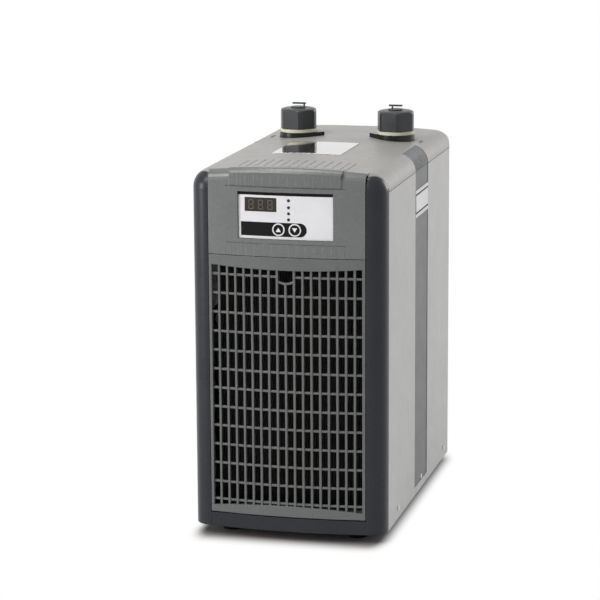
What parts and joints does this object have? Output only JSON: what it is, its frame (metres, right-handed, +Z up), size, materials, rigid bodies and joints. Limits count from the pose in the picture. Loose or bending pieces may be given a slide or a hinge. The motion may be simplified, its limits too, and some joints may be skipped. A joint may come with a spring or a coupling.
{
  "type": "aquarium chiller",
  "caption": "Upright water chiller with a bowed barred grille, a raised control plate with buttons, a ribbed crowned top and capped union ports.",
  "frame": {"origin": "on the floor, under the middle of the unit", "axes": "+Z up, -Y towards the front grille, +X to the right as seen from the front"},
  "size_m": [0.2682, 0.476, 0.5495],
  "materials": {
    "charcoal_plastic": "satin",
    "grey_plastic": "satin metallic grey",
    "light_plastic": "satin",
    "light_sheet": "satin",
    "mid_grey_plastic": "matt",
    "galvanised_sheet": "zinc plated",
    "foot_rubber": "matt",
    "screw_steel": "bright",
    "plate_grey": "satin",
    "border_black": "matt",
    "plate_white": "satin",
    "label_gloss": "gloss",
    "display_tint": "gloss",
    "digit_tint": "matt",
    "lens_dark": "gloss",
    "strip_black": "satin",
    "mark_light": "matt",
    "board_green": "satin",
    "black_plastic": "matt",
    "port_dark": "gloss",
    "ring_cream": "satin",
    "nut_dark": "satin",
    "plug_dark": "satin",
    "mark_dark": "matt",
    "fin_black": "black coated",
    "copper_tube": "dull",
    "motor_grey": "satin",
    "shell_black": "gloss",
    "vessel_grey": "satin",
    "titanium": "dull"
  },
  "bodies": {
    "cabinet": {"front_bezel": "charcoal_plastic", "control_panel": "grey_plastic", "top_cover": "light_plastic", "side_panel_left": "light_sheet", "side_panel_right": "light_sheet", "side_strips": "mid_grey_plastic", "cover_grips": "mid_grey_plastic", "rear_panel": "light_sheet", "base_pan": "galvanised_sheet", "feet": "foot_rubber", "foot_screws": "screw_steel", "side_screws": "screw_steel", "rear_screws": "screw_steel", "plate_frame": "plate_grey", "plate_border": "border_black", "blank_plate": "plate_white", "top_label": "label_gloss", "control_plate": "plate_white", "plate_seal": "border_black", "display_window": "display_tint", "display_digits": "digit_tint", "indicator_lenses": "lens_dark", "button_strip": "strip_black", "button_rings": "mark_light", "control_board": "board_green", "display_block": "black_plastic", "port_bases": "port_dark", "port_rings": "ring_cream", "flow_arrows": "mark_dark", "condenser_fins": "fin_black", "condenser_tubes": "copper_tube", "condenser_ends": "galvanised_sheet", "fan_shroud": "black_plastic", "fan_motor": "motor_grey", "fan_bracket": "galvanised_sheet", "compressor": "shell_black", "compressor_base": "shell_black", "compressor_grommets": "foot_rubber", "terminal_cover": "black_plastic", "heat_exchanger": "vessel_grey", "titanium_coil": "titanium", "vessel_cradle": "galvanised_sheet", "refrigerant_lines": "copper_tube", "filter_drier": "copper_tube", "water_sensor": "screw_steel", "supply_box": "galvanised_sheet", "cord_gland": "black_plastic", "heater_outlet": "black_plastic"},
    "grille": {"grille_panel": "grey_plastic"},
    "up_key": {"up_button": "strip_black", "up_arrow": "mark_light"},
    "down_key": {"down_button": "strip_black", "down_arrow": "mark_light"},
    "fan": {"fan_blades": "black_plastic"},
    "left_nut": {"left_nut": "nut_dark"},
    "right_nut": {"right_nut": "nut_dark"},
    "left_plug": {"left_plug": "plug_dark"},
    "right_plug": {"right_plug": "plug_dark"}
  },
  "joints": [
    {"name": "grille_tilt", "type": "hinge", "parent": "cabinet", "child": "grille", "pos_m": [0, -0.235, 0.0351], "axis": [1, 0, 0], "range_deg": [0, 30]},
    {"name": "up_press", "type": "slide", "parent": "cabinet", "child": "up_key", "axis": [0, 1, 0], "range_m": [0, 0.0005], "stiffness_N_per_m": 800},
    {"name": "down_press", "type": "slide", "parent": "cabinet", "child": "down_key", "axis": [0, 1, 0], "range_m": [0, 0.0005], "stiffness_N_per_m": 800},
    {"name": "fan_spin", "type": "hinge", "parent": "cabinet", "child": "fan", "pos_m": [0, -0.1377, 0.205], "axis": [0, 1, 0], "continuous": true},
    {"name": "left_nut_turn", "type": "hinge", "parent": "cabinet", "child": "left_nut", "pos_m": [-0.0643, 0.0973, 0.5133], "axis": [0, 0, 1], "continuous": true},
    {"name": "right_nut_turn", "type": "hinge", "parent": "cabinet", "child": "right_nut", "pos_m": [0.0777, 0.0973, 0.5133], "axis": [0, 0, 1], "continuous": true},
    {"name": "left_plug_pull", "type": "slide", "parent": "cabinet", "child": "left_plug", "axis": [0, 0, 1], "range_m": [0, 0.034]},
    {"name": "right_plug_pull", "type": "slide", "parent": "cabinet", "child": "right_plug", "axis": [0, 0, 1], "range_m": [0, 0.034]}
  ]
}
